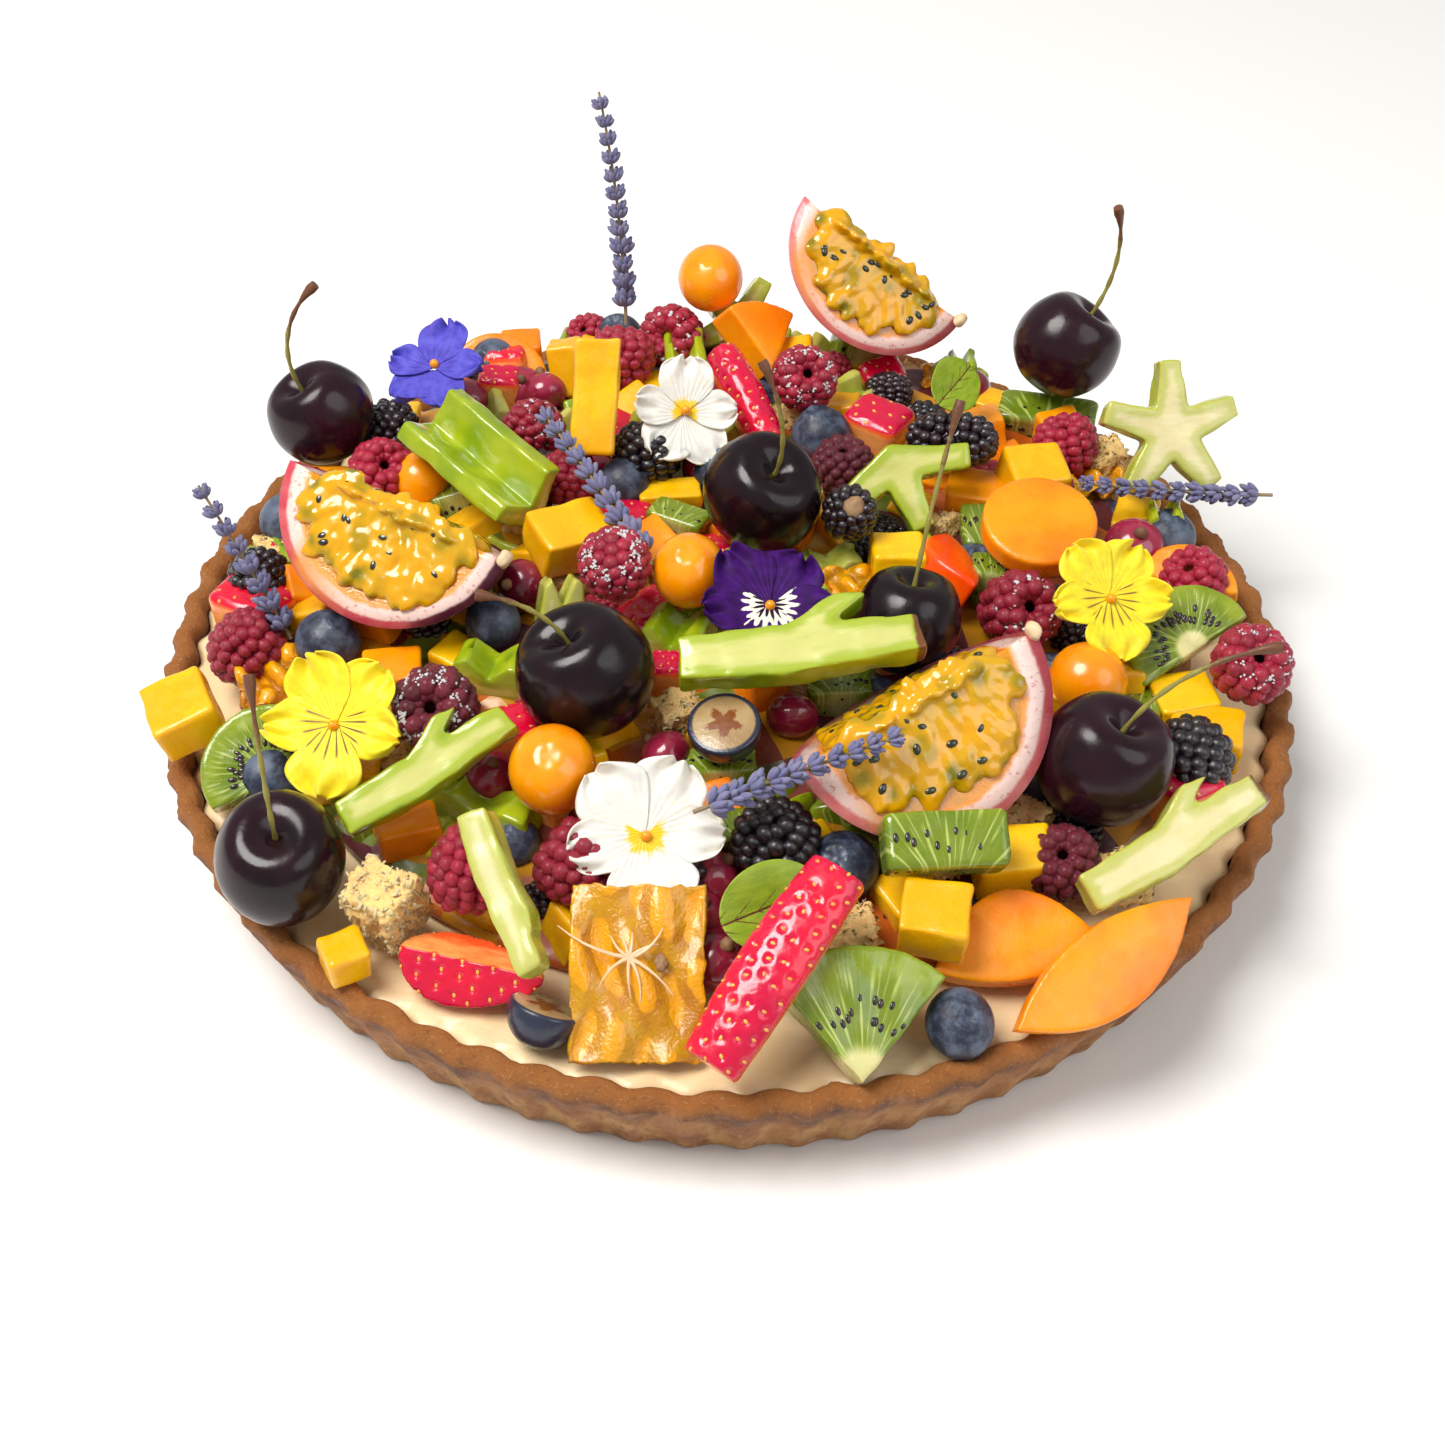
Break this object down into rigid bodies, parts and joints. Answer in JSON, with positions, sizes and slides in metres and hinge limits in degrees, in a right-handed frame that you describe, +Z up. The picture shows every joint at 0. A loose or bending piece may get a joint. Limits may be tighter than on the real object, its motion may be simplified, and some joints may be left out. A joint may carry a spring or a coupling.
{
  "type": "fruit tart",
  "caption": "Round fluted fruit tart: a baked shell with cream under a heap of cut fruit, berries, cherries, edible flowers and lavender.",
  "frame": {"origin": "centre of the flat underside of the baked shell", "axes": "+Z up through the middle of the tart; the front of the tart, as it was pictured, faces -Y; +X to its right"},
  "size_m": [0.2682, 0.268, 0.1027],
  "materials": {
    "pastry": "baked golden-brown crust, matt and sandy, darker on the rim",
    "cream": "smooth ivory custard cream, softly shiny",
    "heap": "small mixed fruit: berries, currants and cut fruit in their own colours, moist",
    "cherry": "near-black purple skin, very glossy, dull green-brown stem",
    "passion_fruit": "pink rind, pale speckled pith, wet golden pulp with green-brown seeds",
    "physalis": "smooth orange skin, glossy",
    "raspberry": "dark red drupelets with fine hairs, partly dusted with sugar",
    "bramble": "black glossy drupelets",
    "blueberry": "dark blue-grey skin with a pale bloom",
    "strawberry": "bright red moist skin with small pale seeds",
    "mango": "bright yellow moist cut flesh",
    "papaya": "orange moist cut flesh",
    "star_fruit": "lime green waxy skin and pale moist cut flesh",
    "kiwi": "green moist cut flesh with black seeds and a pale core",
    "husk": "amber wrinkled fruit skin, moist",
    "coconut": "cream-coloured sponge with dry coconut flakes",
    "yellow_petal": "bright yellow velvety petal with fine brown lines",
    "white_petal": "white velvety petal with a yellow eye",
    "violet_petal": "deep purple velvety petal with a white and yellow face",
    "blue_petal": "blue-violet velvety petal",
    "leaf": "fresh green leaf with dark red veins",
    "lavender": "dry grey-lilac buds on a tan stem"
  },
  "bodies": {
    "root": {"tart_shell": "pastry", "pastry_cream": "cream", "fruit_heap": "heap", "blueberry_cut": "blueberry", "blueberry_front": "blueberry", "bramble_middle": "bramble", "bramble_right": "bramble", "cherry_back": "cherry", "cherry_back_left": "cherry", "cherry_back_right": "cherry", "cherry_centre": "cherry", "cherry_front_left": "cherry", "cherry_middle_right": "cherry", "cherry_right": "cherry", "coconut_cube": "coconut", "golden_berry_back": "physalis", "golden_berry_centre": "physalis", "golden_berry_front": "physalis", "husk_front": "husk", "kiwi_block": "kiwi", "kiwi_front": "kiwi", "lavender_back": "lavender", "lavender_centre": "lavender", "lavender_front": "lavender", "lavender_left": "lavender", "lavender_right": "lavender", "mango_centre": "mango", "mango_front": "mango", "mango_left": "mango", "mango_left_front": "mango", "mango_stick": "mango", "papaya_disc": "papaya", "papaya_front": "papaya", "papaya_front_right": "papaya", "passion_fruit_back": "passion_fruit", "passion_fruit_left": "passion_fruit", "passion_fruit_right": "passion_fruit", "raspberry_back": "raspberry", "raspberry_centre": "raspberry", "raspberry_front": "raspberry", "raspberry_left": "raspberry", "raspberry_right": "raspberry", "sorrel_back": "leaf", "sorrel_front": "leaf", "star_fruit_centre": "star_fruit", "star_fruit_front": "star_fruit", "star_fruit_left": "star_fruit", "star_fruit_long": "star_fruit", "star_fruit_low": "star_fruit", "star_fruit_right": "star_fruit", "star_fruit_upright": "star_fruit", "strawberry_cut": "strawberry", "strawberry_stick": "strawberry", "strawberry_strip": "strawberry", "viola_blue": "blue_petal", "viola_purple": "violet_petal", "viola_white_back": "white_petal", "viola_white_front": "white_petal", "viola_yellow_left": "yellow_petal", "viola_yellow_right": "yellow_petal"}
  },
  "joints": []
}
